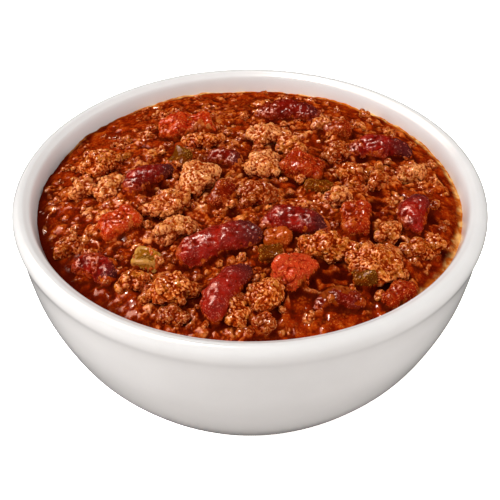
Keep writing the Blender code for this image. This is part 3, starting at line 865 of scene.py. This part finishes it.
def make_chili(surface):
    """The chili: the worked surface on top, and a side and floor inside the bowl."""
    side = 400
    reach = FILL_RADIUS + 1.2 * MM
    flat = np.stack(disk_grid(side), 1) * reach
    top = np.c_[flat, sampled(surface.height, flat)]
    index = np.arange(side * side).reshape(side, side)
    quads = np.stack([index[:-1, :-1], index[:-1, 1:], index[1:, 1:], index[1:, :-1]], -1).reshape(-1, 4)
    ring = np.concatenate([index[0, :-1], index[:-1, -1], index[-1, :0:-1], index[:0:-1, 0]])
    faces = quads.tolist()
    verts = [top]
    angle = np.arctan2(flat[ring, 1], flat[ring, 0])
    made = len(top)
    for radius, height in chili_side():
        verts.append(np.c_[radius * np.cos(angle), radius * np.sin(angle), np.full(len(angle), height)])
        below = made + np.arange(len(ring))
        faces += np.stack([ring, below, np.roll(below, -1), np.roll(ring, -1)], 1).tolist()
        ring = below
        made += len(ring)
    faces.append(ring[::-1].tolist())
    chili = new_mesh("chili_sauce_and_mince", np.concatenate(verts), faces)
    hidden = np.ones(made)
    hidden[: len(top)] = np.clip(sampled(surface.buried, flat), 0.02, 1)
    thinned(chili, hidden, MOST_TRIANGLES)
    co = coordinates(chili.data)
    on_top = co[:, 2] > FILL_EDGE - 1.5 * MM
    for name in ("meat", "tone", "bare", "relief", "rim", "dim", "shade", "shine"):
        store(chili.data, **{name: np.clip(sampled(getattr(surface, name), co), 0, 1) * on_top})
    return finish_piece(chili, "sauce", sauce_material(), "chili")


def thinned(obj, hidden, most):
    """Collapses edges, mostly where hidden is near 1, until the object has this many triangles."""
    made = sum(len(p.vertices) - 2 for p in obj.data.polygons)
    if made <= most:
        return
    group = obj.vertex_groups.new(name="hidden")
    steps = np.clip((hidden * 20).round() / 20, 0.05, 1)
    for weight in np.unique(steps):
        group.add(np.flatnonzero(steps == weight).tolist(), float(weight), "REPLACE")
    modified(obj, "DECIMATE", ratio=most / made, vertex_group="hidden")
    obj.vertex_groups.clear()


def chili_side():
    """(radius, height) rings down the inside of the bowl, from the CAD chili's own corners."""
    co = coordinates(NODES["chili"].data)
    lower = co[co[:, 2] < FILL_EDGE - 2 * MM]
    pairs = np.round(np.stack([np.hypot(lower[:, 0], lower[:, 1]), lower[:, 2]], 1) / (0.01 * MM))
    rings = sorted({tuple(p) for p in pairs}, key=lambda p: -p[1])
    bowl_line = cad_profile("bowl")
    inside = bowl_line[np.argmax(bowl_line[:, 1]) :]
    found = []
    for radius, height in ((r * 0.01 * MM, h * 0.01 * MM) for r, h in rings):
        wall = np.interp(height, inside[::-1, 1], inside[::-1, 0])
        if wall - MM < radius < wall and (not found or found[-1][1] - height > 2 * MM):
            found.append((radius, height))
    return found


# ---- pieces


def own_axes(points, centre):
    """The axes of these points, longest first, and how far they reach from centre along each."""
    axes = np.linalg.svd(points - points.mean(0), full_matrices=False)[2]
    return axes, np.abs((points - centre) @ axes.T).max(0)


def piece_numbers(mesh, nodes):
    """For each vertex, its nearest node's paleness and how far along that node it lies."""
    co = coordinates(mesh)
    tone, along = np.zeros((2, len(co)))
    nearest = np.full(len(co), 1e9)
    for node in nodes:
        points = coordinates(NODES[node].data)
        centre = points.mean(0)
        axes, reach = own_axes(points, centre)
        local = (co - centre) @ axes.T / reach
        away = np.linalg.norm(local, axis=1)
        closer = away < nearest
        nearest[closer] = away[closer]
        tone[closer] = PALENESS[node]
        sign = 1 if axes[0][0] > 0 else -1
        along[closer] = np.clip(0.5 + 0.5 * sign * local[closer, 0], 0, 1)
    return tone, along


def coating(co, ground, along, tone, seed):
    """From 0 to 1, how far sauce covers each point: patches, one end, what is near the sauce's level, and
    more on the pieces that aren't pale."""
    above = (co[:, 2] - sampled(ground.height, co)) / MM
    patches = rough_noise(co, 3.2 * MM, 3, seed) + 0.9 * (0.42 - along) + (0.6 - tone)
    return smoothstep(patches - 0.4 * (above - 1.6), -0.05, 0.4)


def squared(mesh, nodes, power, scale):
    """Gives each node's copy flatter faces and plainer edges, and scales it along its own axes."""
    co = coordinates(mesh)
    found = co.copy()
    for node in nodes:
        points = coordinates(NODES[node].data)
        low, high = points.min(0), points.max(0)
        mine = np.all((co > low - 0.01 * MM) & (co < high + 0.01 * MM), axis=1)
        centre = (low + high) / 2
        axes, reach = own_axes(points, centre)
        local = (co[mine] - centre) @ axes.T / reach
        even = np.linalg.norm(local, axis=1)
        boxy = (np.abs(local) ** power).sum(1) ** (1 / power)
        moved = centre + MM * np.array(BESIDE.get(node, (0, 0, 0)))
        found[mine] = moved + (local * (even / boxy)[:, None] * reach * scale) @ axes
    set_coordinates(mesh, found)


def make_pieces(name, nodes, ground, slot_name, material, seed, voxel, power, scale, coat_depth, dents):
    """Beans, tomato or pepper: the CAD shapes rounded, dented by (size, depth, kind) in millimetres, and
    partly coated with grainy sauce."""
    obj = joined_copy(name, nodes)
    modified(obj, "SUBSURF", levels=2)
    set_coordinates(obj.data, coordinates(obj.data) + 0.25 * MM * normals(obj.data))
    squared(obj.data, nodes, power, scale)
    modified(obj, "REMESH", voxel_size=voxel * MM)
    mesh = obj.data
    co = relaxed(coordinates(mesh), edges_of(mesh), 2)
    set_coordinates(mesh, co)
    no = normals(mesh)
    start = co.copy()
    for order, (size, depth, kind) in enumerate(dents):
        size, depth = size * MM, depth * MM
        where = warped(start, size, 0.3 * size, seed + 40 + order)
        if kind == "cells":
            shape = cell_bumps(where, size, seed + 10 * order)[0] - 0.4
        else:
            shape = smooth_noise(where, size, seed + 10 * order)
        co = co + no * (depth * shape)[:, None]
    tone, along = piece_numbers(mesh, nodes)
    coat = coating(co, ground, along, tone, seed + 5)
    grains, _ = cell_bumps(warped(start, 0.8 * MM, 0.3 * MM, seed + 60), 0.85 * MM, seed + 70)
    co = co + no * (coat * (coat_depth * MM) * (0.5 + 1.1 * grains))[:, None]
    set_coordinates(mesh, co)
    relief = np.clip(0.5 + relief_of(mesh, 6) / (0.35 * MM), 0, 1)
    store(mesh, tone=tone, along=along, coat=coat, relief=relief)
    return finish_piece(obj, slot_name, material, *nodes)


def icosphere_arrays():
    bm = bmesh.new()
    bmesh.ops.create_icosphere(bm, subdivisions=2, radius=1)
    verts = np.array([v.co[:] for v in bm.verts])
    faces = np.array([[v.index for v in f.verts] for f in bm.faces])
    bm.free()
    return verts, faces


BALL, BALL_FACES = icosphere_arrays()


def balls(name, centres, radii):
    """One object holding a ball at each centre."""
    verts = (BALL[None] * radii[:, None, None] + centres[:, None]).reshape(-1, 3)
    faces = (BALL_FACES[None] + (np.arange(len(centres)) * len(BALL))[:, None, None]).reshape(-1, 3)
    return new_mesh(name, verts, faces.tolist())


# Pieces that lie a little beside their CAD solid, and clumps that go on past it: x, y, z in millimetres
BESIDE = {
    "beef_03": (0, 2, 0.2), "beef_11": (1.2, 0, 0), "beef_13": (1.4, 0, 0),
    "beef_20": (-2.2, -1.4, 0), "beef_23": (1, 0, 0), "beef_24": (1.4, 0.2, 0),
    "tomato_07": (0.6, -0.8, 0),
}
TRAILING = {"beef_26": (-0.8, 3.4, 0.5), "beef_05": (0.5, 1.5, 1.2), "beef_20": (-2.6, -2, -0.6)}


def clump_balls(centre, axes, reach, rng):
    """Lumps of minced beef for one clump, spread over an egg of this reach along its axes."""
    count = int(10 + 0.62 * reach[0] * reach[1] / MM**2)
    direction = rng.normal(size=(count, 3))
    direction /= np.linalg.norm(direction, axis=1)[:, None]
    radius = np.minimum(rng.uniform(0.9, 2, count) * MM, 0.45 * reach[1])
    out = reach * rng.uniform(0.85, 1.08, (count, 1))
    sunk = (0.85 + rng.uniform(-0.2, 0.3, count)) * radius
    lumps = centre + (direction * (out - sunk[:, None])) @ axes
    inner = centre + (direction * 0.5 * reach) @ axes
    centres = np.concatenate([centre[None], lumps, inner])
    return centres, np.concatenate([[reach[2] * 0.72], radius, np.full(count, reach[2] * 0.5)])


def roughened(obj, level, seed, most):
    """Grain on fused clumps, their hidden part thinned, and numbers that their material reads."""
    mesh = obj.data
    co = relaxed(coordinates(mesh), edges_of(mesh), 1)
    set_coordinates(mesh, co)
    no = normals(mesh)
    where = warped(warped(co, 2.4 * MM, 0.5 * MM, seed + 3), 0.8 * MM, 0.26 * MM, seed)
    grains, own = cell_bumps(where, 1.45 * MM, seed + 1)
    lesser, _ = cell_bumps(where, 0.95 * MM, seed + 5)
    grains = grains + (lesser - grains) * smoothstep(smooth_noise(co, 2.8 * MM, seed + 6), -0.08, 0.08)
    small, _ = cell_bumps(where, 0.75 * MM, seed + 2)
    share = 0.5 + 0.5 * smooth_noise(co, 2 * MM, seed + 4)
    shape = 0.62 * (grains - 0.45) * (0.75 + 0.4 * own) * (1.1 - 0.5 * share)
    shape = shape + (0.14 + 0.26 * share) * (small - 0.45) + 0.08 * smooth_noise(co, 0.55 * MM, seed + 8)
    co = co + no * (MM * shape)[:, None]
    set_coordinates(mesh, co)
    above = co[:, 2] - sampled(level, co)
    thinned(obj, smoothstep(-above, 0.3 * MM, 0.8 * MM), most)
    mesh = obj.data
    co = coordinates(mesh)
    above = (co[:, 2] - sampled(level, co)) / MM
    fine = relief_of(mesh, 3) / (0.16 * MM)
    broad = relief_of(mesh, 14) / (0.9 * MM)
    coat = smoothstep(rough_noise(co, 2.6 * MM, 2, seed + 9) - 0.6 * (above - 1.3), -0.3, 0.8)
    store(mesh, relief=np.clip(0.46 + 0.19 * fine + 0.48 * broad, 0, 1), coat=coat)


def make_clumps(surface):
    """The big clumps of minced beef, in place of the CAD ones."""
    rng = np.random.default_rng(11)
    parts = []
    for node in BEEF:
        points = coordinates(NODES[node].data)
        centre = (points.max(0) + points.min(0)) / 2
        axes, reach = own_axes(points, centre)
        centre = centre + np.array(BESIDE.get(node, (0, 0, 0))) * MM
        for shift, share in ((Vector(), 1), (Vector(TRAILING.get(node, (0, 0, 0))) * MM, 0.85)):
            if share == 1 or shift.length:
                parts.append(clump_balls(centre + np.array(shift), axes, reach * share, rng))
    obj = balls("beef_clumps", *(np.concatenate(part) for part in zip(*parts)))
    modified(obj, "REMESH", voxel_size=0.25 * MM)
    roughened(obj, surface.height, 13, MOST_TRIANGLES)
    store(obj.data, tone=piece_numbers(obj.data, BEEF)[0])
    return finish_piece(obj, "minced_beef", beef_material(), *BEEF)


def make_crumbs(surface, over):
    """Loose crumbs of minced beef lying in the sauce and against the pieces."""
    rng = np.random.default_rng(17)
    centres, radii, placed = [], [], []
    lying = np.maximum(surface.height, over)
    rasters = surface.clear, surface.bare, over - surface.height, lying
    while len(placed) < CRUMBS:
        x, y = rng.uniform(-FILL_RADIUS, FILL_RADIUS, 2)
        clear_enough, bare_enough, low_enough, share, rise = rng.uniform(0, 1, 5)
        count = int(rng.integers(4, 8))
        spread = rng.normal(size=(7, 3))[:count]
        lump = rng.uniform(0.4, 0.62, 7)[:count]
        size = (0.6 + 1.1 * share) * MM
        clear, bare, proud, z = (sampled(raster, np.array([[x, y]]))[0] for raster in rasters)
        if (
            math.hypot(x, y) > FILL_RADIUS - 3.4 * MM
            or clear > 0.1 + 0.9 * clear_enough
            or bare < bare_enough - 0.45
            or proud > (0.3 * low_enough - 0.2) * MM
            or any(math.hypot(x - a, y - b) < 0.8 * (size + s) for a, b, s in placed)
        ):
            continue
        placed.append((x, y, size))
        z += (0.7 * rise - 0.45) * size
        spread /= np.linalg.norm(spread, axis=1)[:, None]
        lump = lump * size
        out = spread * (size - 0.7 * lump)[:, None] * np.array([1, 1, 0.8])
        centres += [np.array([x, y, z]) + out, [[x, y, z]]]
        radii += [lump, [0.65 * size]]
    obj = balls("beef_crumbs", np.concatenate(centres), np.concatenate(radii))
    modified(obj, "REMESH", voxel_size=0.22 * MM)
    roughened(obj, lying, 19, CRUMB_TRIANGLES)
    store(obj.data, tone=0.3 + 0.4 * smooth_noise(coordinates(obj.data), 3 * MM, 23))
    return finish_piece(obj, "minced_beef", beef_material())


# ---- stage


# Half the floor's width, in metres
FLOOR_REACH = 4


def make_floor(name, height, tint, unseen_by):
    corners = ((-1, -1), (1, -1), (1, 1), (-1, 1))
    floor = new_mesh(name, [(x * FLOOR_REACH, y * FLOOR_REACH, height) for x, y in corners], [(0, 1, 2, 3)])
    floor.data.materials.append(floor_material(name + "_white", tint))
    for ray in unseen_by:
        setattr(floor, "visible_" + ray, False)


def make_floors():
    """A floor as overexposed as the photograph's, and under it the one that lights the bowl from below."""
    make_floor("floor_seen", 0.0, (2.9, 2.9, 2.9), ("diffuse", "glossy", "shadow", "transmission"))
    make_floor("floor_below", -0.2 * MM, (0.775, 0.74, 0.725), ("camera", "glossy"))


def add_sun(name, azimuth, elevation, angle, strength, colour, glint=False):
    """A distant lamp for light or for glints, seen from the bowl at these angles in degrees, azimuth
    counted from +X towards +Y."""
    light = bpy.data.lights.new(name, "SUN")
    light.angle = math.radians(angle)
    light.energy = strength
    light.color = colour
    obj = linked(name, light)
    turn, rise = math.radians(azimuth), math.radians(elevation)
    towards = Vector((math.cos(rise) * math.cos(turn), math.cos(rise) * math.sin(turn), math.sin(rise)))
    obj.rotation_euler = towards.to_track_quat("Z", "Y").to_euler()
    obj.visible_glossy = glint
    obj.visible_diffuse = not glint


def make_lights():
    """Even light from all round that leaves no haze on the food, and small lamps for its glints."""
    add_sun("softbox", 190, 78, 80, 0.26, (1, 0.995, 0.99))
    add_sun("key", 195, 66, 18, 1.08, (1, 0.99, 0.97))
    add_sun("right", 345, 12, 60, 1.8, (1, 0.99, 0.98))
    add_sun("front", 310, 50, 60, 0.12, (1, 0.99, 0.98))
    add_sun("left", 190, 12, 50, 2.6, (1, 1, 1))
    add_sun("glint_left", 168, 54, 58, 5.8, (1, 0.62, 0.48), glint=True)
    add_sun("glint_top", 130, 76, 10, 1.8, (1, 0.9, 0.82), glint=True)
    world = bpy.data.worlds.new("studio")
    bpy.context.scene.world = world
    world.use_nodes = True
    world.cycles_visibility.glossy = False
    background = world.node_tree.nodes["Background"]
    background.inputs["Color"].default_value = (1, 0.995, 0.99, 1)
    background.inputs["Strength"].default_value = 0.34


def make_camera():
    """The photograph's viewing angle."""
    elevation = math.radians(39.7)
    distance = 301.4 * MM
    aim = Vector((0, 0, 0.6 * HEIGHT))
    data = bpy.data.cameras.new("camera")
    data.sensor_width = 36
    data.lens = 81.24
    data.shift_y = 0.0151
    data.clip_start = 0.01
    data.clip_end = 20
    camera = linked("camera", data)
    camera.location = aim + distance * Vector((0, -math.cos(elevation), math.sin(elevation)))
    camera.rotation_euler = (math.pi / 2 - elevation, 0, 0)
    bpy.context.scene.camera = camera
    bpy.context.scene.view_settings.view_transform = "Standard"


# ---- everything


def main():
    make_bowl()
    ground = make_ground()
    beans = make_pieces(
        "kidney_beans", BEANS, ground, "bean_skin", bean_material(), seed=101,
        voxel=0.27, power=2.2, scale=(1, 0.84, 0.96), coat_depth=0.26,
        dents=((4.5, 0.5, "noise"), (1.8, 0.34, "noise"), (0.9, 0.16, "noise")),
    )
    tomatoes = make_pieces(
        "tomato_chunks", TOMATOES, ground, "tomato_flesh", tomato_material(), seed=201,
        voxel=0.27, power=3.2, scale=(0.98, 0.95, 0.92), coat_depth=0.25,
        dents=((3.6, 1, "noise"), (1.5, 0.5, "cells"), (0.75, 0.22, "cells")),
    )
    peppers = make_pieces(
        "pepper_pieces", PEPPERS, ground, "pepper_flesh", pepper_material(), seed=301,
        voxel=0.22, power=6, scale=(0.86, 0.86, 0.9), coat_depth=0.22,
        dents=((4, 0.7, "noise"), (1.6, 0.22, "noise"), (0.7, 0.06, "cells")),
    )
    surface = with_pieces(ground, (beans, tomatoes, peppers))
    clumps = make_clumps(surface)
    over = height_over((beans, tomatoes, peppers, clumps))
    surface.buried = blurred((over > surface.height + 0.25 * MM).astype(float), 0.3)
    # Painted shade: darker where the surroundings stand higher, in the gaps, and over the least pale pieces
    around = blurred(np.maximum(over, surface.height), 1.6) - surface.height
    shade = np.maximum(smoothstep(around, 0.25 * MM, 1.5 * MM), surface.gaps)
    surface.shade = np.maximum(shade, 0.6 * shade_over_dark_pieces())
    make_chili(surface)
    make_crumbs(surface, over)
    make_floors()
    make_lights()
    make_camera()


main()
